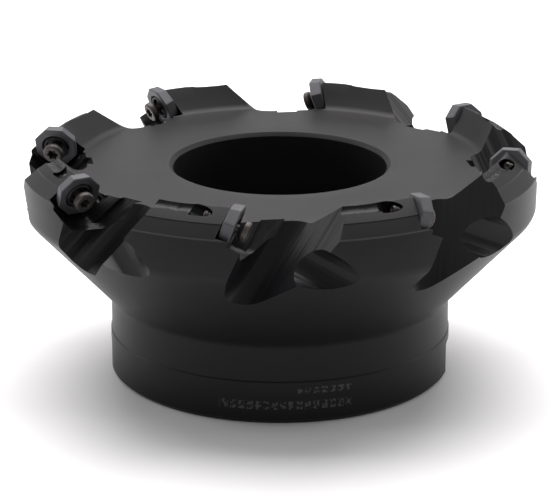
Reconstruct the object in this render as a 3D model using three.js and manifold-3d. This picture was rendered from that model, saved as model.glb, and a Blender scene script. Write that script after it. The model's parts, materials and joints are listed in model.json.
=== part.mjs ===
// Right-hand 45-degree shell face mill, standing on its arbor face with the cutting face up.
// Millimetres, +Z up, origin at the centre of the arbor face on the cutter's axis.

import * as THREE from 'three';
import { mergeVertices } from 'three/addons/utils/BufferGeometryUtils.js';
import Module from 'manifold-3d';

const wasm = await Module();
wasm.setup();

// ---------------------------------------------------------------- driving dimensions

const body = {
  boreRadius: 20,
  boreChamfer: 1,
  counterboreRadius: 28,
  counterboreFloor: 30,
  counterboreChamfer: 1,
  hubRadius: 45,
  hubReliefStep: 0.3,        // the hub's upper length is turned this much smaller
  hubReliefHeight: 11.4,
  hubChamfer: 1.2,
  coneFoot: [[44.7, 20.7], [45.4, 22.1]],       // blend from the hub into the back cone, [radius, height]
  coneHead: [[63.8, 41.8], [65.6, 44.3], [66.8, 46.3]],   // blend from the cone into the rim
  rimRadius: 67,
  rimLow: 47.2,
  rimHigh: 55.7,
  landStep: { r: 64.1, z: 58.6, drop: 0.25 },
  ridge: { r: 59.5, z: 61.8, width: 0.6 },
  wallFoot: [[54.5, 56.75], [53.4, 56.05], [52.1, 55.75]],   // blend from the ridge's inner slope into the flat face
  flatHeight: 55.75,
  segments: 64,
};

const slot = { width: 16.4, depth: 9, turn: -2.9 };      // drive slot across the arbor face

const seat = {
  radius: 60.3,              // centre of the shim's front face
  height: 56.8,
  rake: 21,                  // axial rake: the face tips down, top edge leading
  lean: 2,                   // the face looks slightly outwards
  clearance: 0.6,            // pocket wall to shim, on the lower sides
  notch: 7.3,                // inner wall of the recess, from the centre
  floor: 6.43,               // sloping inner wall in front of the shim, from the centre
  floorRun: 3.8,             // how far that wall runs in front of the shim
  stepFloor: 7.4,            // the deeper wall beyond it
  stepRun: 7.5,
  outer: 6.9,                // sloping outer wall in front of the shim
  open: 14,                  // the recess is open upwards and outwards to here
  relief: 0.9,               // radius of the corner relief holes
};

// Four unequal steps, repeated on the other half, so that the teeth don't chatter in step.
const halfPitch = [33.9, 80, 124.2, 170.6];

const shim = {
  acrossFlats: 11,
  thickness: 3,
  draft: 13,
  holeRadius: 3.5,
  ledgeRadius: 2.5,
  ledgeDepth: 1.9,           // from the front face down to the ledge
};

const sleeve = {
  headRadius: 3.2,
  headLength: 1.6,
  shankRadius: 1.8,
  shankEnd: -6.4,
  boreRadius: 1.4,
  mouthRadius: 2.6,
  mouthDepth: 0.9,
};

const screw = {
  headRadius: 2.7,
  headFront: 3.3,            // the unscrewed head stands this far in front of the shim
  rimLength: 1.5,
  edge: 0.25,
  coneLength: 1.1,
  shankRadius: 1.1,
  tip: -8.6,
  tipChamfer: 0.35,
  socketOuter: 1.35,
  socketInner: 0.95,
  socketDepth: 1.3,
  lobes: 6,
};

const gap = 0.3;                                          // between neighbouring solids
const screwHole = { radius: sleeve.shankRadius + gap, depth: 12 };
const runOut = {                                          // groove behind the screw's hole, along the ridge
  radius: 1.4,
  from: new THREE.Vector3(60.5, -8, 61.8),
  to: new THREE.Vector3(56.9, -23, 61.7),
};
const roundSides = 20;                                    // sides of the small round pieces
const reliefSides = 6;

const gullet = {                                          // a straight channel, in the tooth's own frame
  axis: new THREE.Vector3(-0.45, 0.45, 0.772),
  innerNormal: new THREE.Vector3(0.874, 0.043, 0.484),    // the inner wall looks outwards and up
  innerWall: 70.3,                                        // its distance from the origin
  seatWall: -7.4,                                         // the wall on the seat's side, along the inner wall
  crease: -0.8,                                           // where the inner wall meets the trailing wall
  trailingAngle: 45,                                      // the trailing wall opens outwards by this much
  seatCorner: 3.5,
  creaseRadius: 4,
  reach: 30,
  start: -10,
  end: 60,
};

const scallop = {                                         // round run-out that the gullet's trailing wall cuts off
  radius: 5.45,
  from: new THREE.Vector3(63.0, 11, 52.5),
  to: new THREE.Vector3(65.9, 35, 41.6),
};

const steel = { blackened: 0x262527, shim: 0x5c5b5f, sleeve: 0x3a393a, screw: 0x6b655f };

// ---------------------------------------------------------------- solids

const radians = THREE.MathUtils.degToRad;

// A closed three.js geometry as a solid, with shared vertices merged on position alone.
function solid(geometry) {
  const plain = geometry.clone();
  for (const name of Object.keys(plain.attributes)) {
    if (name !== 'position') plain.deleteAttribute(name);
  }
  const merged = mergeVertices(plain, 1e-4);
  return new wasm.Manifold(new wasm.Mesh({
    numProp: 3,
    vertProperties: new Float32Array(merged.attributes.position.array),
    triVerts: new Uint32Array(merged.index.array),
  }));
}

function geometryOf(manifold) {
  const mesh = manifold.getMesh();
  const geometry = new THREE.BufferGeometry();
  geometry.setAttribute('position', new THREE.BufferAttribute(mesh.vertProperties, 3));
  geometry.setIndex(new THREE.BufferAttribute(mesh.triVerts, 1));
  geometry.computeVertexNormals();
  return geometry;
}

// A ring or disc turned about Z from [radius, height] points, listed up the outside first.
function turned(points, segments) {
  const profile = points.map(([r, z]) => new THREE.Vector2(r, z));
  const onAxis = points[0][0] === 0;
  if (!onAxis) profile.push(profile[0].clone());
  const geometry = new THREE.LatheGeometry(profile, segments);
  return geometry.rotateX(Math.PI / 2);
}

// A cylinder between two points.
function rod(from, to, radius, segments) {
  const along = new THREE.Vector3().subVectors(to, from);
  const geometry = new THREE.CylinderGeometry(radius, radius, along.length(), segments);
  const turn = new THREE.Quaternion().setFromUnitVectors(new THREE.Vector3(0, 1, 0), along.clone().normalize());
  const middle = new THREE.Vector3().addVectors(from, to).multiplyScalar(0.5);
  return geometry.applyQuaternion(turn).translate(middle.x, middle.y, middle.z);
}

function prism(points, low, high) {
  const outline = new THREE.Shape(points.map(([x, y]) => new THREE.Vector2(x, y)));
  return new THREE.ExtrudeGeometry(outline, { depth: high - low, bevelEnabled: false }).translate(0, 0, low);
}

function polygon(acrossFlats, sides) {
  const corner = acrossFlats / 2 / Math.cos(Math.PI / sides);
  return Array.from({ length: sides }, (_, i) => {
    const angle = (i + 0.5) * 2 * Math.PI / sides;
    return [corner * Math.cos(angle), corner * Math.sin(angle)];
  });
}

// Scales the outline of an extrusion towards its back face, for drafted sides.
function drafted(geometry, frontZ, angle, halfSize) {
  const position = geometry.attributes.position;
  for (let i = 0; i < position.count; i++) {
    const behind = frontZ - position.getZ(i);
    const scale = 1 - behind * Math.tan(radians(angle)) / halfSize;
    position.setXY(i, position.getX(i) * scale, position.getY(i) * scale);
  }
  return geometry;
}

// ---------------------------------------------------------------- frames

// Seat frame inside a tooth's frame (X outwards, Y forwards, Z up): local Z leaves the seat along
// the screw, local Y runs up the face and local X points to the cutter's axis.
function seatMatrix() {
  const rake = radians(seat.rake);
  const lean = radians(seat.lean);
  const normal = new THREE.Vector3(
    Math.sin(lean), Math.cos(rake) * Math.cos(lean), -Math.sin(rake) * Math.cos(lean));
  const up = new THREE.Vector3(0, 0, 1).addScaledVector(normal, -normal.z).normalize();
  const inward = new THREE.Vector3().crossVectors(up, normal);
  return new THREE.Matrix4().makeBasis(inward, up, normal).setPosition(seat.radius, 0, seat.height);
}

const toothAngles = [...halfPitch, ...halfPitch.map((angle) => angle + 180)];

function toothMatrix(angle) {
  return new THREE.Matrix4().makeRotationZ(radians(angle));
}

// ---------------------------------------------------------------- cutter body

function bodyBlank() {
  const b = body;
  const ridgeHalf = b.ridge.width / 2;
  return turned([
    [b.hubRadius - b.hubChamfer, 0],
    [b.hubRadius, b.hubChamfer],
    [b.hubRadius, b.hubReliefHeight],
    [b.hubRadius - b.hubReliefStep, b.hubReliefHeight + b.hubReliefStep],
    ...b.coneFoot,
    ...b.coneHead,
    [b.rimRadius, b.rimLow],
    [b.rimRadius, b.rimHigh],
    [b.landStep.r, b.landStep.z],
    [b.landStep.r - b.landStep.drop, b.landStep.z],
    [b.ridge.r + ridgeHalf, b.ridge.z],
    [b.ridge.r - ridgeHalf, b.ridge.z],
    ...b.wallFoot,
    [b.counterboreRadius + b.counterboreChamfer, b.flatHeight],
    [b.counterboreRadius, b.flatHeight - b.counterboreChamfer],
    [b.counterboreRadius, b.counterboreFloor],
    [b.boreRadius + b.boreChamfer, b.counterboreFloor],
    [b.boreRadius, b.counterboreFloor - b.boreChamfer],
    [b.boreRadius, b.boreChamfer],
    [b.boreRadius + b.boreChamfer, 0],
  ], b.segments);
}

// Channel with a seat-side wall, an inner wall and a trailing wall that opens outwards. The outline's
// X is the distance along the inner wall's normal, and its Y runs forwards along that wall.
function gulletCutter() {
  const g = gullet;
  const axis = g.axis.clone().normalize();
  const normal = g.innerNormal.clone().addScaledVector(axis, -g.innerNormal.dot(axis)).normalize();
  const forward = new THREE.Vector3().crossVectors(axis, normal);
  const opening = radians(g.trailingAngle);
  const tangent = g.creaseRadius * Math.tan(opening / 2);
  const outline = new THREE.Shape();
  outline.moveTo(g.innerWall + g.reach, g.seatWall);
  outline.lineTo(g.innerWall + g.seatCorner, g.seatWall);
  outline.absarc(g.innerWall + g.seatCorner, g.seatWall + g.seatCorner, g.seatCorner, 1.5 * Math.PI, Math.PI, true);
  outline.lineTo(g.innerWall, g.crease - tangent);
  outline.absarc(g.innerWall + g.creaseRadius, g.crease - tangent, g.creaseRadius, Math.PI, Math.PI - opening, true);
  outline.lineTo(g.innerWall + g.reach, g.crease + g.reach * Math.tan(opening));
  const geometry = new THREE.ExtrudeGeometry(outline, { depth: g.end - g.start, bevelEnabled: false, curveSegments: 4 });
  geometry.translate(0, 0, g.start);
  return geometry.applyMatrix4(new THREE.Matrix4().makeBasis(normal, forward, axis));
}

// Outline of the space round the shim or in front of it: an inner wall that slopes down towards the
// axis of the screw, a level lower wall and an outer wall that slopes up.
function pocketOutline(innerSlope, outerSlope, innerLimit) {
  const low = -(shim.acrossFlats / 2 + seat.clearance);
  const inner = innerSlope * Math.SQRT2;                  // X minus Y along the inner slope
  const outer = outerSlope * Math.SQRT2;
  return [
    [innerLimit, seat.open],
    [innerLimit, innerLimit - inner],
    [inner + low, low],
    [-outer - low, low],
    [-seat.open, seat.open - outer],
    [-seat.open, seat.open],
  ];
}

// Seat for the shim, the room in front of it for an insert, and the screw's hole with its run-out.
function pocketCutter() {
  const back = -shim.thickness - gap;
  const half = shim.acrossFlats / 2 + seat.clearance;
  let pocket = solid(prism(pocketOutline(seat.floor, half, seat.notch), back, seat.floorRun))
    .add(solid(prism(pocketOutline(seat.floor, seat.outer, seat.open), 0, seat.floorRun)))
    .add(solid(prism(pocketOutline(seat.stepFloor, seat.outer, seat.open), seat.floorRun, seat.stepRun)));
  const corners = polygon(2 * half, 8);
  const lowerCorners = [7, 6, 5];
  for (const i of lowerCorners) {
    const [x, y] = corners[i];
    pocket = pocket.add(solid(rod(new THREE.Vector3(x, y, back), new THREE.Vector3(x, y, 0), seat.relief, reliefSides)));
  }
  const hole = rod(new THREE.Vector3(0, 0, -screwHole.depth), new THREE.Vector3(0, 0, 0), screwHole.radius, roundSides);
  return geometryOf(pocket.add(solid(hole))).applyMatrix4(seatMatrix());
}

function toothCutter() {
  return solid(gulletCutter())
    .add(solid(rod(scallop.from, scallop.to, scallop.radius, roundSides)))
    .add(solid(rod(runOut.from, runOut.to, runOut.radius, roundSides)))
    .add(solid(pocketCutter()));
}

function driveSlot() {
  const long = 2 * body.hubRadius + 20;
  return new THREE.BoxGeometry(long, slot.width, 2 * slot.depth).rotateZ(radians(slot.turn));
}

function cutterBody() {
  let metal = solid(bodyBlank()).subtract(solid(driveSlot()));
  const cut = geometryOf(toothCutter());
  for (const angle of toothAngles) {
    metal = metal.subtract(solid(cut.clone().applyMatrix4(toothMatrix(angle))));
  }
  return geometryOf(metal);
}

// ---------------------------------------------------------------- seat hardware, in the seat frame

function shimPlate() {
  const s = shim;
  const plate = drafted(prism(polygon(s.acrossFlats, 8), -s.thickness, 0), 0, s.draft, s.acrossFlats / 2);
  const hole = turned([
    [0, -s.thickness - 1],
    [s.ledgeRadius, -s.thickness - 1],
    [s.ledgeRadius, -s.ledgeDepth],
    [s.holeRadius, -s.ledgeDepth],
    [s.holeRadius, 1],
    [0, 1],
  ], roundSides);
  return geometryOf(solid(plate).subtract(solid(hole)));
}

function sleeveScrew() {
  const s = sleeve;
  return turned([
    [s.shankRadius, s.shankEnd],
    [s.shankRadius, -s.headLength],
    [s.headRadius, -s.headLength],
    [s.headRadius, 0],
    [s.mouthRadius, 0],
    [s.mouthRadius, -s.mouthDepth],
    [s.boreRadius, -s.mouthDepth],
    [s.boreRadius, s.shankEnd],
  ], roundSides);
}

function insertScrew() {
  const s = screw;
  const shankTop = s.headFront - s.rimLength - s.coneLength;
  const blank = turned([
    [0, s.tip],
    [s.shankRadius - s.tipChamfer, s.tip],
    [s.shankRadius, s.tip + s.tipChamfer],
    [s.shankRadius, shankTop],
    [s.headRadius, shankTop + s.coneLength],
    [s.headRadius, s.headFront - s.edge],
    [s.headRadius - s.edge, s.headFront],
    [0, s.headFront],
  ], roundSides);
  const points = 2 * s.lobes;
  const lobed = Array.from({ length: points }, (_, i) => {
    const angle = i / points * 2 * Math.PI;
    const middle = (s.socketOuter + s.socketInner) / 2;
    const swing = (s.socketOuter - s.socketInner) / 2;
    const radius = middle + swing * Math.cos(s.lobes * angle);
    return [radius * Math.cos(angle), radius * Math.sin(angle)];
  });
  const socket = prism(lobed, s.headFront - s.socketDepth, s.headFront + 1);
  return geometryOf(solid(blank).subtract(solid(socket)));
}

// ---------------------------------------------------------------- scene

function finish(color, roughness) {
  return new THREE.MeshStandardMaterial({ color, roughness, metalness: 0.8 });
}

function named(name, geometry, material) {
  const mesh = new THREE.Mesh(geometry, material);
  mesh.name = name;
  return mesh;
}

const faceMill = new THREE.Group();
faceMill.add(named('cutter_body', cutterBody(), finish(steel.blackened, 0.55)));

const hardware = [
  ['shim', shimPlate(), finish(steel.shim, 0.5)],
  ['shim_screw', sleeveScrew(), finish(steel.sleeve, 0.5)],
  ['insert_screw', insertScrew(), finish(steel.screw, 0.4)],
];

toothAngles.forEach((angle, index) => {
  const tooth = new THREE.Group();
  tooth.rotation.z = radians(angle);
  const seatGroup = new THREE.Group();
  seatMatrix().decompose(seatGroup.position, seatGroup.quaternion, seatGroup.scale);
  tooth.add(seatGroup);
  for (const [name, geometry, material] of hardware) {
    seatGroup.add(named(`${name}_${index + 1}`, geometry, material));
  }
  faceMill.add(tooth);
});

export default faceMill;
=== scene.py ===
import json
import bpy
import bmesh
import numpy as np
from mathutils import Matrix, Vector

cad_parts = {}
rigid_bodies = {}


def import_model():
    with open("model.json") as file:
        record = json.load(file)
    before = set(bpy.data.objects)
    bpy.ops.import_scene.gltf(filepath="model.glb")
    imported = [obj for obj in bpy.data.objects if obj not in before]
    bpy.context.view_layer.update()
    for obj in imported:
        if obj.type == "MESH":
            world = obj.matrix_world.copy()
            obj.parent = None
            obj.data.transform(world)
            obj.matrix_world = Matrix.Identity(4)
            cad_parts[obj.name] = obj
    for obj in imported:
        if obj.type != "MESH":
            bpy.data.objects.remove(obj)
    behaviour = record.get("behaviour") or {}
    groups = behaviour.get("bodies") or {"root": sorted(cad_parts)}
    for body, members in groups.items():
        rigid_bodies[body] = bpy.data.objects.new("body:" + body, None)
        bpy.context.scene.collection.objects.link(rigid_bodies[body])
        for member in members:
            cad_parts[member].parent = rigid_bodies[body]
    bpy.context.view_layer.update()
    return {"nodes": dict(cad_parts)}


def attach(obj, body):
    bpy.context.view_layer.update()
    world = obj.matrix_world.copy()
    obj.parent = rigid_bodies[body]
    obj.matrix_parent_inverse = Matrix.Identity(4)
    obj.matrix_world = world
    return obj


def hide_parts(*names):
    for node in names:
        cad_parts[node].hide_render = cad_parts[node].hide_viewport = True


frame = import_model()
print("frame loaded:", len(frame["nodes"]), "nodes")

mm = 0.001

# ---- mesh helpers, all in millimetres until makeObject ----

def makeObject(name, points, faces, closePoles=False):
    # points (n, 3) in millimetres, faces as a list of index lists
    mesh = bpy.data.meshes.new(name)
    mesh.from_pydata((np.asarray(points, float) * mm).tolist(), [], faces)
    if closePoles:
        work = bmesh.new()
        work.from_mesh(mesh)
        bmesh.ops.remove_doubles(work, verts=work.verts, dist=1e-8)
        bmesh.ops.recalc_face_normals(work, faces=work.faces)
        work.to_mesh(mesh)
        work.free()
    mesh.update()
    piece = bpy.data.objects.new(name, mesh)
    bpy.context.scene.collection.objects.link(piece)
    return piece


def gridFaces(rows, columns, ring):
    # quads between neighbouring rows of a grid whose columns go round
    # ring also joins the last row to the first
    r = np.arange(rows if ring else rows - 1)[:, None]
    c = np.arange(columns)[None, :]
    after = (r + 1) % rows
    beside = (c + 1) % columns
    here, above = r * columns, after * columns
    return np.stack([here + c, here + beside, above + beside, above + c], -1).reshape(-1, 4)


def circleOf(columns):
    # equal angles round a whole turn
    return np.arange(columns) / columns * 2 * np.pi


def filleted(corners, steps=5):
    # every corner (x, y, radius) of a closed outline becomes an arc that touches both of its sides
    p = np.array([c[:2] for c in corners], float)
    radius = np.array([c[2] for c in corners], float)[:, None]
    back = np.roll(p, 1, 0) - p
    ahead = np.roll(p, -1, 0) - p
    back /= np.linalg.norm(back, axis=1, keepdims=True)
    ahead /= np.linalg.norm(ahead, axis=1, keepdims=True)
    half = 0.5 * np.arccos(np.clip((back * ahead).sum(1, keepdims=True), -0.99999, 0.99999))
    middle = p + (back + ahead) / np.linalg.norm(back + ahead, axis=1, keepdims=True) * radius / np.sin(half)
    start = p + back * radius / np.tan(half) - middle
    end = p + ahead * radius / np.tan(half) - middle
    turn = np.pi - 2 * half
    t = np.linspace(0, 1, steps)[None, :, None]
    turn3 = turn[:, :, None]
    arc = (start[:, None] * np.sin((1 - t) * turn3) + end[:, None] * np.sin(t * turn3)) / np.sin(turn3)
    line = (middle[:, None] + arc).reshape(-1, 2)
    keep = np.linalg.norm(line - np.roll(line, 1, 0), axis=1) > 1e-6
    return line[keep]


def alongSides(line, longest):
    # extra points on the long sides of a closed outline, so that no side is longer than longest
    after = np.roll(line, -1, 0)
    count = np.maximum(1, np.ceil(np.linalg.norm(after - line, axis=1) / longest).astype(int))
    parts = [a + (b - a) * (np.arange(n) / n)[:, None] for a, b, n in zip(line, after, count)]
    return np.concatenate(parts)


def turned(name, profile, columns):
    # a closed profile of (radius, height) carried round the Z axis
    a = circleOf(columns)
    r, z = profile[:, :1], profile[:, 1:]
    points = np.stack([r * np.cos(a), r * np.sin(a), z + 0 * a], -1).reshape(-1, 3)
    return makeObject(name, points, gridFaces(len(profile), columns, True)[:, ::-1].tolist(), True)


def stacked(name, sections, matrix):
    # a solid through closed sections (rows, n, 3) in a frame, with a flat cap at both ends
    rows, n = sections.shape[:2]
    points = sections.reshape(-1, 3) @ matrix[:3, :3].T + matrix[:3, 3]
    faces = gridFaces(rows, n, False).tolist()
    faces.append(list(range(n))[::-1])
    faces.append(list(range((rows - 1) * n, rows * n)))
    return makeObject(name, points, faces, True)


def frameOf(x, y, z, origin):
    # a 4 by 4 matrix whose columns are three directions and a place
    m = np.eye(4)
    m[:3, 0], m[:3, 1], m[:3, 2], m[:3, 3] = x, y, z, origin
    return m


def unit(v):
    # the same direction with a length of one
    v = np.asarray(v, float)
    return v / np.linalg.norm(v)


def aboutZ(degrees):
    # a turn about the cutter's axis
    a = np.radians(degrees)
    m = np.eye(4)
    m[:2, :2] = [[np.cos(a), -np.sin(a)], [np.sin(a), np.cos(a)]]
    return m


def alongLine(start, end):
    # a frame whose Z axis runs from start to end
    z = unit(np.subtract(end, start))
    x = unit(np.cross([0.0, 0.0, 1.0], z)) if abs(z[2]) < 0.9 else unit(np.cross([1.0, 0, 0], z))
    return frameOf(x, np.cross(z, x), z, start), np.linalg.norm(np.subtract(end, start))


# ---- where the teeth are ----

seat = dict(radius=60.3, height=56.8, rake=21, lean=2)
toothAngles = np.array([33.9, 80, 124.2, 170.6, 213.9, 260, 304.2, 350.6])

rake, lean = np.radians(seat["rake"]), np.radians(seat["lean"])
seatNormal = np.array([np.sin(lean), np.cos(rake) * np.cos(lean), -np.sin(rake) * np.cos(lean)])
seatUp = unit(np.array([0, 0, 1.0]) - seatNormal * seatNormal[2])
seatFrame = frameOf(np.cross(seatUp, seatNormal), seatUp, seatNormal, [seat["radius"], 0, seat["height"]])

# ---- cutter body ----

bodyShape = dict(
    columns=288,
    arcSteps=6,
    longestSide=6.0,
    profile=[                      # radius, height, fillet
        (43.9, 0, 0.12), (45, 1.1, 0.12), (45, 11.2, 0.04), (44.72, 11.5, 0.04), (44.72, 21.0, 2.5),
        (67.2, 45.2, 4.0), (67.25, 55.55, 0.15), (64.15, 58.5, 0.03), (64.05, 58.75, 0.03),
        (59.8, 61.8, 0.15), (59.2, 61.8, 0.15), (53.57, 55.75, 3.3), (29, 55.75, 0.1), (28, 54.75, 0.1),
        (28, 30, 0.4), (21, 30, 0.1), (20, 29, 0.1), (20, 1, 0.1), (21, 0, 0.1),
    ],
    slotWidth=16.4, slotDepth=9, slotTurn=-2.9, slotCorner=0.8, slotBelow=5, slotReach=60.0, slotSteps=6,
)

gullet = dict(
    axis=[-0.45, 0.45, 0.772], innerNormal=[0.874, 0.043, 0.484], low=-14, high=62,
    outline=[                      # forward, outward, fillet
        (-7.4, 102, 0), (-7.4, 70.3, 4.0), (-0.8, 70.3, 4.0), (30.9, 102, 0),
    ],
    arcSteps=16,
    ahead=6,                       # degrees from the tooth's seat to the middle of its gullet
    turn=[1.5, 0, 0, 0, 1.5, 0, 0, 0],        # degrees; two opposite gullets lie further ahead of their seats
)

scallop = dict(radius=5.45, start=[63.0, 11, 52.5], end=[66.05, 36, 41.2], sides=96, nose=0.0)

runOut = dict(radius=2.3, start=[60.8, -9.0, 62.35], end=[56.7, -23.8, 62.35], sides=64, nose=2.6)

pocket = dict(                     # outlines are rightwards, upwards, fillet, seen facing the shim
    recess=[(7.3, 14, 0), (7.3, -1.8, 0.9), (3.0, -6.1, 1.5), (-2.5, -6.1, 1.5), (-12, 3.4, 0), (-12, 14, 0)],
    front=[(14, 14, 0), (14, 4.9, 0), (3.0, -6.1, 3.0), (-3.66, -6.1, 2.6), (-12, 2.24, 0), (-12, 14, 0)],
    beyond=[(14, 14, 0), (14, 3.5, 0), (4.4, -6.1, 3.0), (-3.66, -6.1, 2.6), (-12, 2.24, 0), (-12, 14, 0)],
    back=-3.3, step=3.8, run=9.0, overlap=0.6,
    relief=0.9, reliefCorners=[(6.0, -2.6), (2.5, -6.0), (-2.5, -6.0)], reliefSides=24,
    holeRadius=1.9, holeLength=12.0, holeSides=48, arcSteps=8,
)


def channelFrame():
    # forward and outward directions across the gullet, and the way down along it
    axis = unit(gullet["axis"])
    outward = np.array(gullet["innerNormal"])
    outward = unit(outward - axis * (outward @ axis))
    return frameOf(np.cross(axis, outward), outward, -axis, [0, 0, 0])


def prismTool(name, corners, low, high, matrix, steps):
    # a rounded outline carried straight from one height to another
    line = filleted(corners, steps)
    if (line[:, 0] * np.roll(line[:, 1], -1) - line[:, 1] * np.roll(line[:, 0], -1)).sum() < 0:
        line = line[::-1]
    heights = np.array([low, high], float)[:, None]
    sections = np.stack([line[:, 0] + 0 * heights, line[:, 1] + 0 * heights, heights + 0 * line[:, 0]], -1)
    return stacked(name, sections, matrix)


def roundTool(name, start, end, radius, sides, tooth, nose=0.0):
    # a cylinder; with a nose, its radius grows over that length as a quarter of an ellipse
    matrix, length = alongLine(start, end)
    a = circleOf(sides)
    tipAngle, noseSteps = 0.12, 9
    t = np.append(np.linspace(tipAngle, np.pi / 2, noseSteps if nose else 1), np.pi / 2)[:, None]
    grown = radius * np.sin(t) if nose else radius + 0 * t
    height = nose * (1 - np.cos(t))
    height[0], height[-1] = 0, length
    sections = np.stack([grown * np.cos(a), grown * np.sin(a), height + 0 * a], -1)
    return stacked(name, sections, tooth @ matrix)


def octagon(acrossFlats, corner):
    # eight corners on a circle, the first half a step round from the X axis
    a = (np.arange(8) + 0.5) * np.pi / 4
    r = acrossFlats / 2 / np.cos(np.pi / 8)
    return [(r * np.cos(t), r * np.sin(t), corner) for t in a]


def pocketTools(tooth):
    # the shim's recess, the room in front of it with its step, three relief holes and the screw's hole
    p = pocket
    matrix = tooth @ seatFrame
    pastStep = p["step"] + p["overlap"]
    tools = [
        prismTool("recessTool", p["recess"], p["back"], pastStep, matrix, p["arcSteps"]),
        prismTool("frontTool", p["front"], 0, pastStep, matrix, p["arcSteps"]),
        prismTool("beyondTool", p["beyond"], p["step"], p["run"], matrix, p["arcSteps"]),
    ]
    for x, y in p["reliefCorners"]:
        foot = [x, y, p["back"]]
        tools.append(roundTool("reliefTool", foot, [x, y, 0], p["relief"], p["reliefSides"], matrix))
    deep = [0, 0, -p["holeLength"]]
    tools.append(roundTool("holeTool", deep, [0, 0, 0], p["holeRadius"], p["holeSides"], matrix))
    return tools


def slotTool():
    # a bar across the arbor face whose two upper edges are rounded
    b = bodyShape
    h, w, low, corner = b["slotDepth"], b["slotWidth"] / 2, -b["slotBelow"], b["slotCorner"]
    line = filleted([(-w, low, 0), (w, low, 0), (w, h, corner), (-w, h, corner)], b["slotSteps"])
    ends = np.array([-b["slotReach"], b["slotReach"]])[:, None]
    sections = np.stack([ends + 0 * line[:, 0], line[:, 0] + 0 * ends, line[:, 1] + 0 * ends], -1)
    return stacked("slotTool", sections, aboutZ(b["slotTurn"]))


def carved(blank, tools):
    # the blank less every tool, as one plain mesh
    for tool in tools:
        cut = blank.modifiers.new("cut", "BOOLEAN")
        cut.operation = "DIFFERENCE"
        cut.solver = "MANIFOLD"
        cut.object = tool
    bpy.context.view_layer.update()
    shape = bpy.data.meshes.new_from_object(blank.evaluated_get(bpy.context.evaluated_depsgraph_get()))
    blank.modifiers.clear()
    blank.data = shape
    for tool in tools:
        bpy.data.objects.remove(tool)
    return blank


def makeBody():
    # the turned profile less the drive slot and, at each tooth, its gullet, two run-outs and its pocket
    b = bodyShape
    profile = filleted(b["profile"], b["arcSteps"])
    blank = turned("cutterBody", alongSides(profile, b["longestSide"]), b["columns"])
    tools = [slotTool()]
    channel = channelFrame()
    g = gullet
    for angle, turn in zip(toothAngles, g["turn"]):
        tooth, gap = aboutZ(angle), aboutZ(angle + turn)
        along = gap @ channel
        tools.append(prismTool("gulletTool", g["outline"], -g["high"], -g["low"], along, g["arcSteps"]))
        for name, shape, place in (("scallopTool", scallop, gap), ("runOutTool", runOut, tooth)):
            start, end, radius = shape["start"], shape["end"], shape["radius"]
            tools.append(roundTool(name, start, end, radius, shape["sides"], place, shape["nose"]))
        tools += pocketTools(tooth)
    return carved(blank, tools)


cutterBody = makeBody()
print("cutter body:", len(cutterBody.data.polygons), "faces")

# ---- shims ----

shimShape = dict(acrossFlats=11.0, corner=0.35, cornerSteps=5, longestSide=0.7, thickness=3.0, draft=13,
                 edge=0.22, holeRadius=3.5, ledgeRadius=2.5, ledgeDepth=1.9, ledgeEdge=0.1, mouthEdge=0.3)


def makeShim(index, angle):
    # closed loop of rows: hole mouth, front face, drafted flank, back face, ledge hole, ledge
    s = shimShape
    outline = alongSides(filleted(octagon(s["acrossFlats"], s["corner"]), s["cornerSteps"]), s["longestSide"])
    polar = np.arctan2(outline[:, 1], outline[:, 0])
    ring = np.stack([np.cos(polar), np.sin(polar)], 1)
    t, e, m, half = s["thickness"], s["edge"], s["mouthEdge"], s["acrossFlats"] / 2
    ledge, depth = s["ledgeRadius"], s["ledgeDepth"]
    shrink = np.tan(np.radians(s["draft"])) / half
    rows = [                       # share of the outline or None, radius, height
        (None, s["holeRadius"], -depth),
        (None, s["holeRadius"], -m),
        (None, s["holeRadius"] + m, 0),
        (1 - e / half, 0, 0),
        (1, 0, -e),
        (1 - shrink * (t - e), 0, -(t - e)),
        (1 - shrink * t - e / half, 0, -t),
        (None, ledge, -t),
        (None, ledge, -depth - s["ledgeEdge"]),
        (None, ledge + s["ledgeEdge"], -depth),
    ]
    plane = [outline * k if k is not None else ring * r for k, r, z in rows]
    points = np.stack([np.column_stack([xy, np.full(len(xy), z)]) for xy, (k, r, z) in zip(plane, rows)])
    matrix = aboutZ(angle) @ seatFrame
    points = points.reshape(-1, 3) @ matrix[:3, :3].T + matrix[:3, 3]
    return makeObject(f"shimPlate{index}", points, gridFaces(len(rows), len(outline), True).tolist(), True)


# ---- screws ----

threadShape = dict(pitch=0.7, rowStep=0.0875, fade=0.5, sleeveDepth=0.2, screwDepth=0.22)


def threadWave(a, z, pitch):
    # 0 at the root and 1 at the crest of a triangular thread whose crest climbs one pitch a turn
    turnPart = z / pitch - a / (2 * np.pi)
    return 1 - np.abs(2 * (turnPart - np.floor(turnPart)) - 1)


def lathed(name, rows, columns, matrix, lobe=None):
    # rows of (radius, height, thread depth, share of the socket's lobe) carried round the screw's axis
    # the radius is less by the thread's depth at its root, and more by the lobe inside the socket
    rows = np.array(rows, float)
    a = circleOf(columns)[None]
    r, z, cut, share = (rows[:, k][:, None] for k in range(4))
    radius = r - cut * (1 - threadWave(a, z, threadShape["pitch"]))
    if lobe is not None:
        radius = radius + share * lobe(a)
    points = np.stack([radius * np.cos(a), radius * np.sin(a), z + 0 * a], -1).reshape(-1, 3)
    points = points @ matrix[:3, :3].T + matrix[:3, 3]
    ring = rows[0, 0] > 0
    return makeObject(name, points, gridFaces(len(rows), columns, ring).tolist(), True)


def threadRows(radius, low, high, depth):
    # rows of a threaded stretch, whose cut runs out at both ends
    z = np.arange(low, high, threadShape["rowStep"])
    fade = np.clip(np.minimum(z - low, high - z) / threadShape["fade"], 0, 1)
    return [(radius, h, depth * f, 0) for h, f in zip(z, fade)]


sleeveShape = dict(headRadius=3.2, headLength=1.6, shankRadius=1.8, shankEnd=-6.4, boreRadius=1.4,
                   mouthRadius=2.6, mouthDepth=0.9, edge=0.15, lead=0.3, boreEdge=0.1, columns=64)


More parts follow.
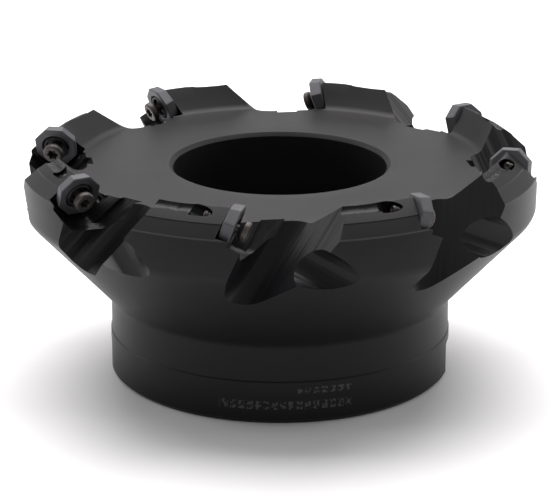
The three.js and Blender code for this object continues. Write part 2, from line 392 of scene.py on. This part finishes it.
def makeSleeve(index, angle):
    # a closed loop of rows: threaded shank, head, mouth for the insert screw, plain bore
    s = sleeveShape
    e, lead, boreEdge = s["edge"], s["lead"], s["boreEdge"]
    low, under, floor = s["shankEnd"], -s["headLength"], -s["mouthDepth"]
    shank, head, mouth, bore = s["shankRadius"], s["headRadius"], s["mouthRadius"], s["boreRadius"]
    rows = [(shank - lead, low, 0, 0)]
    rows += threadRows(shank, low + lead, under - lead, threadShape["sleeveDepth"])
    rows += [
        (shank, under, 0, 0), (head - e, under, 0, 0), (head, under + e, 0, 0), (head, -e, 0, 0),
        (head - e, 0, 0, 0), (mouth + e, 0, 0, 0), (mouth, -e, 0, 0), (mouth, floor, 0, 0),
        (bore + boreEdge, floor, 0, 0),
    ]
    rows += threadRows(bore, low + boreEdge, floor - boreEdge, 0)[::-1]
    rows.append((bore + boreEdge, low, 0, 0))
    return lathed(f"shimScrew{index}", rows, s["columns"], aboutZ(angle) @ seatFrame)


screwShape = dict(
    headRadius=2.7, headFront=3.3, rimLength=1.5, coneLength=1.1, shankRadius=1.1, tip=-8.6,
    socketOuter=1.5, socketInner=1.08, socketDepth=2.2, lead=0.3, columns=72,
    dimple=[                       # radius, height over the tip
        (0, 0.35), (0.35, 0.12), (0.5, 0.02), (0.6, 0),
    ],
    crown=[                        # inwards from the head's side, down from its top
        (0, 0.5), (0.06, 0.3), (0.2, 0.13), (0.45, 0.03), (0.7, 0),
    ],
    lip=[                          # outwards from the socket, down from the top, share of the lobe
        (0.32, 0, 0.35), (0.1, 0.03, 0.9), (0, 0.13, 1),
    ],
)


def sixLobe(a):
    # a cosine of six waves, with a little of its double for flatter lobes
    swing = (screwShape["socketOuter"] - screwShape["socketInner"]) / 2
    return swing * np.cos(6 * a) + 0.12 * swing * np.cos(12 * a)


def makeScrew(index, angle):
    # rows from the dimple in the tip, along thread, neck, cone and crowned head, to the socket's floor
    s = screwShape
    tip, shank, head, top = s["tip"], s["shankRadius"], s["headRadius"], s["headFront"]
    coneTop = top - s["rimLength"]
    coneFoot = coneTop - s["coneLength"]
    mean = (s["socketOuter"] + s["socketInner"]) / 2
    floor = top - s["socketDepth"]
    rows = [(r, tip + h, 0, 0) for r, h in s["dimple"]]
    rows.append((shank - s["lead"], tip, 0, 0))
    rows += threadRows(shank, tip + s["lead"], coneFoot - 1.4, threadShape["screwDepth"])
    rows += [                      # neck and cone
        (shank - 0.1, coneFoot - 1.2, 0, 0), (shank - 0.1, coneFoot - 0.15, 0, 0),
        (shank + 0.05, coneFoot, 0, 0), (head - 0.1, coneTop - 0.08, 0, 0), (head, coneTop + 0.06, 0, 0),
    ]
    rows += [(head - inwards, top - down, 0, 0) for inwards, down in s["crown"]]
    rows += [(mean + out, top - down, 0, share) for out, down, share in s["lip"]]
    rows += [                      # socket
        (mean, floor, 0, 1), (mean - 0.08, floor - 0.06, 0, 0.9), (0.4, floor - 0.25, 0, 0),
        (0, floor - 0.32, 0, 0),
    ]
    return lathed(f"insertScrew{index}", rows, s["columns"], aboutZ(angle) @ seatFrame, sixLobe)


shims, sleeves, screws = [], [], []
for k, angle in enumerate(toothAngles, 1):
    shims.append(makeShim(k, angle))
    sleeves.append(makeSleeve(k, angle))
    screws.append(makeScrew(k, angle))
print("shims and screws:", len(shims) + len(sleeves) + len(screws))

# ---- materials ----

class Wire:
    # a socket that can be added and multiplied, each step adding one Math node
    def __init__(self, kit, socket):
        self.kit, self.socket = kit, socket

    def maths(self, operation, *others):
        values = [self] + list(others)
        return self.kit.node("ShaderNodeMath", {"operation": operation}, dict(enumerate(values)))

    def __add__(self, other):
        return self.maths("ADD", other)

    def __mul__(self, other):
        return self.maths("MULTIPLY", other)

    __radd__ = __add__
    __rmul__ = __mul__


class Kit:
    # one material, built by adding nodes
    def __init__(self, name):
        self.material = bpy.data.materials.new(name)
        self.material.use_nodes = True
        self.tree = self.material.node_tree
        self.shader = self.tree.nodes["Principled BSDF"]

    def node(self, kind, settings, sockets, output=0):
        made = self.tree.nodes.new(kind)
        for key, value in settings.items():
            setattr(made, key, value)
        for key, value in sockets.items():
            if isinstance(value, Wire):
                self.tree.links.new(value.socket, made.inputs[key])
            else:
                made.inputs[key].default_value = value
        return Wire(self, made.outputs[output])

    def place(self):
        return self.node("ShaderNodeTexCoord", {}, {}, "Object")

    def apart(self, vector):
        split = self.node("ShaderNodeSeparateXYZ", {}, {0: vector})
        outputs = split.socket.node.outputs
        return [Wire(self, outputs[k]) for k in range(3)]

    def noise(self, vector, scale, detail, roughness=0.55):
        sockets = {"Vector": vector, "Scale": scale, "Detail": detail, "Roughness": roughness}
        return self.node("ShaderNodeTexNoise", {}, sockets, "Fac")

    def stretch(self, vector, scale):
        return self.node("ShaderNodeMapping", {}, {"Vector": vector, "Scale": scale})

    def colours(self, factor, dark, light):
        first, second = (c if isinstance(c, Wire) else c + (1,) for c in (dark, light))
        return self.node("ShaderNodeMix", {"data_type": "RGBA"}, {0: factor, 6: first, 7: second}, 2)

    def bump(self, height, strength, distance):
        sockets = {"Height": height, "Strength": strength, "Distance": distance}
        return self.node("ShaderNodeBump", {}, sockets)

    def feed(self, **sockets):
        for name, value in sockets.items():
            socket = self.shader.inputs[name.replace("_", " ")]
            if isinstance(value, Wire):
                self.tree.links.new(value.socket, socket)
            else:
                socket.default_value = value


mark = dict(                       # an etched mark without letters: two rows of small blocks on the hub
    front=-0.0425, depth=0.0035, pitch=0.0021, block=0.36, strokes=1500.0,
    rows=[                         # centre, half length, height, half height
        (0.0013, 0.0167, 0.0051, 0.0011),
        (0.0112, 0.0068, 0.0090, 0.0008),
    ],
)
# a painted highlight: a thin pale band round the rim's top edge stands in for light catching that edge
rimHighlightBand = dict(radius=0.0672, height=0.05555, halfWidth=0.00022, halfHeight=0.0002)
specular = 0.17                    # low, so that the black oxide stays dark where light grazes it


def markOf(kit, x, y, z):
    # 1 inside the blocks and 0 elsewhere; fine noise breaks up the blocks' outlines
    inRow = None
    for centre, half, height, tall in mark["rows"]:
        row = x.maths("COMPARE", centre, half) * z.maths("COMPARE", height, tall)
        inRow = row if inRow is None else inRow + row
    block = (x * (1 / mark["pitch"])).maths("FRACT").maths("COMPARE", mark["block"], mark["block"])
    strokes = kit.noise(kit.place(), mark["strokes"], 1.0).maths("GREATER_THAN", 0.5)
    return inRow * block * strokes * y.maths("COMPARE", mark["front"], mark["depth"])


def turnedSteel():
    # black-oxide steel: fine rings that depend on radius and height only, plus clouds and specks, and a
    # painted highlight line along the rim's top edge
    kit = Kit("turnedBlackSteel")
    place = kit.place()
    x, y, z = kit.apart(place)
    radius = (x * x + y * y).maths("SQRT")
    ringPlace = kit.node("ShaderNodeCombineXYZ", {}, {0: radius, 1: z})
    rings = kit.noise(ringPlace, 5200.0, 2.0)
    bands = kit.noise(ringPlace, 700.0, 2.0)
    cloud = kit.noise(place, 45.0, 4.0)
    speck = kit.noise(place, 2600.0, 2.0)
    etched = markOf(kit, x, y, z)
    tone = rings * 0.3 + bands * 0.2 + cloud * 0.3 + speck * 0.2
    # painted highlight: a thin band round the rim's top edge, lightened in the base colour
    onRadius = radius.maths("COMPARE", rimHighlightBand["radius"], rimHighlightBand["halfWidth"])
    paintedRimHighlight = onRadius * z.maths("COMPARE", rimHighlightBand["height"], rimHighlightBand["halfHeight"])
    steel = kit.colours(tone, (0.0048, 0.0043, 0.0049), (0.0105, 0.0095, 0.0107))
    # the etched mark is print; the rim's band is a painted highlight
    kit.feed(Base_Color=kit.colours(etched * 0.8 + paintedRimHighlight * 0.4, steel, (0.07, 0.068, 0.066)),
             Metallic=0.0, Roughness=0.34 + 0.16 * (rings * 0.5 + cloud * 0.5),
             Normal=kit.bump(rings * 0.6 + bands * 0.2 + speck * 0.2, 0.25, 0.00004))
    kit.shader.inputs["Specular IOR Level"].default_value = specular
    return kit.material


def milledSteel():
    # black-oxide steel with soft streaks along each gullet, in the gullet's own coordinates; the streaks are
    # mill marks, and their light ones double as painted highlights along the gullet
    kit = Kit("milledBlackSteel")
    place = kit.place()
    along = kit.node("ShaderNodeAttribute", {"attribute_name": "cutPlace"}, {}, "Vector")
    streakAndSheen = kit.noise(kit.stretch(along, (1, 1, 0.03)), 230.0, 2.0)
    fine = kit.noise(kit.stretch(along, (1, 1, 0.03)), 2400.0, 2.0)
    cloud = kit.noise(place, 80.0, 3.0)
    speck = kit.noise(place, 2200.0, 2.0)
    # mill streaks with painted sheen: the light streaks stand in for soft highlights along the gullet's walls
    tone = streakAndSheen * 0.6 + cloud * 0.2 + speck * 0.2
    kit.feed(Base_Color=kit.colours(tone, (0.0012, 0.0011, 0.0013), (0.0115, 0.0104, 0.0118)),
             Metallic=0.0, Roughness=0.3 + 0.14 * (cloud * 0.5 + fine * 0.5),
             Normal=kit.bump(streakAndSheen * 0.9 + fine * 0.03 + speck * 0.015, 0.6, 0.0016))
    kit.shader.inputs["Specular IOR Level"].default_value = specular
    return kit.material


def plateSteel(name, dark, light, roughness):
    # bare steel of the small pieces, between two greys by clouds and specks
    kit = Kit(name)
    place = kit.place()
    cloud = kit.noise(place, 260.0, 4.0)
    speck = kit.noise(place, 2400.0, 3.0)
    kit.feed(Base_Color=kit.colours(cloud * 0.5 + speck * 0.5, dark, light),
             Metallic=0.6, Roughness=roughness + 0.12 * cloud, Normal=kit.bump(speck, 0.3, 0.00003))
    return kit.material


turnedFinish = turnedSteel()
milledFinish = milledSteel()
shimFinish = plateSteel("shimSteel", (0.055, 0.055, 0.06), (0.095, 0.094, 0.10), 0.42)
sleeveFinish = plateSteel("sleeveSteel", (0.022, 0.021, 0.021), (0.04, 0.038, 0.038), 0.4)
screwFinish = plateSteel("screwSteel", (0.042, 0.038, 0.035), (0.078, 0.071, 0.065), 0.36)
print("materials ready")


finishing = dict(onProfile=0.03, onScallop=0.05, nextGullet=0.013, bodySmooth=28, smallSmooth=32)


def profileDistance(radius, height):
    # distance of points in the radius-height plane from the turned profile
    line = filleted(bodyShape["profile"], bodyShape["arcSteps"])
    after = np.roll(line, -1, 0)
    side = after - line
    length = (side ** 2).sum(1)
    p = np.stack([radius, height], 1)[:, None]
    t = np.clip(((p - line) * side).sum(2) / length, 0, 1)
    return np.linalg.norm(p - line - t[..., None] * side, axis=2).min(1)


def addCutPlace(mesh, centre):
    # each face takes the coordinates of its nearest gullet, or of the round run-out if it lies on that
    # one, with the third coordinate along the tool's path
    azimuth = np.degrees(np.arctan2(centre[:, 1], centre[:, 0]))
    away = (azimuth[:, None] - toothAngles[None] - gullet["ahead"] + 180) % 360 - 180
    nearest = np.abs(away).argmin(1)
    point = np.zeros(len(mesh.vertices) * 3)
    mesh.vertices.foreach_get("co", point)
    corner = np.zeros(len(mesh.loops), np.int32)
    mesh.loops.foreach_get("vertex_index", corner)
    sides = np.zeros(len(mesh.polygons), np.int32)
    mesh.polygons.foreach_get("loop_total", sides)
    owner = np.repeat(nearest, sides)
    gaps = np.array([aboutZ(angle + turn)[:3, :3] for angle, turn in zip(toothAngles, gullet["turn"])])
    runPlace, _ = alongLine(scallop["start"], scallop["end"])
    inRound = (np.einsum("ni,nij->nj", centre, gaps[nearest]) - runPlace[:3, 3]) @ runPlace[:3, :3]
    offRound = np.abs(np.hypot(inRound[:, 0], inRound[:, 1]) - scallop["radius"])
    which = np.repeat((offRound < finishing["onScallop"]).astype(int), sides)
    turns = np.stack([gaps @ channelFrame()[:3, :3], gaps @ runPlace[:3, :3]])
    local = np.einsum("ni,nij->nj", point.reshape(-1, 3)[corner], turns[which, owner])
    local += owner[:, None] * finishing["nextGullet"]     # so that no two gullets share their streaks
    layer = mesh.attributes.new("cutPlace", "FLOAT_VECTOR", "CORNER")
    layer.data.foreach_set("vector", local.astype(np.float32).ravel())


def finishBody(piece):
    # faces that lie on the turned profile keep the turned finish; the rest were cut by a milling tool
    mesh = piece.data
    mesh.materials.clear()
    mesh.materials.append(turnedFinish)
    mesh.materials.append(milledFinish)
    count = len(mesh.polygons)
    centre = np.zeros(count * 3)
    mesh.polygons.foreach_get("center", centre)
    centre = centre.reshape(-1, 3) / mm
    off = profileDistance(np.hypot(centre[:, 0], centre[:, 1]), centre[:, 2])
    mesh.polygons.foreach_set("material_index", (off > finishing["onProfile"]).astype(np.int32))
    addCutPlace(mesh, centre)
    smoothByAngle(piece, finishing["bodySmooth"])


def smoothByAngle(piece, degrees):
    # smooth faces, with sharp edges wherever two faces turn by more than the angle
    mesh = piece.data
    mesh.polygons.foreach_set("use_smooth", np.ones(len(mesh.polygons), bool))
    work = bmesh.new()
    work.from_mesh(mesh)
    for edge in work.edges:
        edge.smooth = len(edge.link_faces) == 2 and edge.calc_face_angle(0) < np.radians(degrees)
    work.to_mesh(mesh)
    work.free()
    mesh.update()


finishBody(cutterBody)
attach(cutterBody, "cutter")
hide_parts("cutter_body")

for k in range(len(toothAngles)):
    for piece, finish, node, body, slotName in (
            (shims[k], shimFinish, "shim", "cutter", "shim_steel"),
            (sleeves[k], sleeveFinish, "shim_screw", f"shim_screw_{k + 1}", "shim_screw_steel"),
            (screws[k], screwFinish, "insert_screw", f"insert_screw_{k + 1}", "insert_screw_steel")):
        piece.data.materials.append(finish)
        smoothByAngle(piece, finishing["smallSmooth"])
        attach(piece, body)
        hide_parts(f"{node}_{k + 1}")
print("pieces placed:", 1 + len(shims) + len(sleeves) + len(screws))

# ---- studio ----

studio = dict(
    cameraDistance=0.700, cameraTarget=0.032, elevation=18.41, aim=0.0309, lens=169.97,
    front=-2.2, flat=3.7, halfWidth=3.0, bend=0.9, steps=60,         # floor and wall, in metres
    worldLight=0.4, lightColour=(1.0, 0.975, 0.99),
    lights=[                       # name, place, aim, size, power
        ("overhead", (0, 0.45, 1.1), (0, 0, 0), (1.4, 1.2), 26),
        ("leftBox", (-1.1, 0.5, 0.5), (0, 0, 0.03), (0.8, 0.9), 4),
        ("rightBox", (1.1, 0.5, 0.5), (0, 0, 0.03), (0.8, 0.9), 4),
        ("wallWash", (0, 1.0, 1.3), (0, 2.4, 0.7), (2.0, 0.6), 21),
    ],
)


def makeFloor():
    # a flat floor that curves up into a wall far behind, as one sheet: half the run is flat, and the
    # other half follows a quarter of a circle
    t = studio
    run = np.linspace(0, 1, t["steps"])
    angle = (run - 0.5) * np.pi
    wallFoot = t["front"] + t["flat"]
    y = np.where(run < 0.5, t["front"] + run * 2 * t["flat"], wallFoot + t["bend"] * np.sin(angle))
    z = np.where(run < 0.5, 0.0, t["bend"] * (1 - np.cos(angle)))
    x = np.array([-t["halfWidth"], t["halfWidth"]])
    points = np.stack([x[None] + 0 * y[:, None], y[:, None] + 0 * x, z[:, None] + 0 * x], -1).reshape(-1, 3)
    rows = np.arange(len(run) - 1)
    faces = np.stack([rows * 2, rows * 2 + 1, rows * 2 + 3, rows * 2 + 2], 1)
    floor = makeObject("studioFloor", points / mm, faces.tolist())
    floor.data.polygons.foreach_set("use_smooth", np.ones(len(floor.data.polygons), bool))
    kit = Kit("paleFloor")
    kit.feed(Base_Color=(0.9, 0.9, 0.9, 1), Roughness=0.8)
    kit.shader.inputs["Specular IOR Level"].default_value = 0.2
    floor.data.materials.append(kit.material)


def softLight(name, place, aim, size, power):
    # a rectangular light that faces its aim
    data = bpy.data.lights.new(name, "AREA")
    data.shape = "RECTANGLE"
    data.size, data.size_y = size
    data.energy = power
    data.color = studio["lightColour"]
    lamp = bpy.data.objects.new(name, data)
    lamp.location = place
    lamp.rotation_euler = (Vector(aim) - Vector(place)).to_track_quat("-Z", "Y").to_euler()
    bpy.context.scene.collection.objects.link(lamp)


def makeCamera():
    # straight in front of the cutter, looking down at it
    e = np.radians(studio["elevation"])
    back = Vector((0, -np.cos(e), np.sin(e)))
    lens = bpy.data.cameras.new("camera")
    lens.lens = studio["lens"]
    lens.sensor_width = 36
    lens.clip_start = 0.01
    lens.clip_end = 20
    camera = bpy.data.objects.new("camera", lens)
    camera.location = Vector((0, 0, studio["cameraTarget"])) + back * studio["cameraDistance"]
    aim = Vector((0, 0, studio["aim"]))
    camera.rotation_euler = (aim - camera.location).to_track_quat("-Z", "Y").to_euler()
    bpy.context.scene.collection.objects.link(camera)
    bpy.context.scene.camera = camera


def makeStudio():
    # floor, even white surroundings, soft lights and the camera
    makeFloor()
    world = bpy.data.worlds.new("studioWorld")
    bpy.context.scene.world = world
    world.use_nodes = True
    surroundings = world.node_tree.nodes["Background"]
    surroundings.inputs[0].default_value = (1, 1, 1, 1)
    surroundings.inputs[1].default_value = studio["worldLight"]
    bpy.context.scene.view_settings.view_transform = "Standard"
    for light in studio["lights"]:
        softLight(*light)
    makeCamera()


makeStudio()
print("studio ready")
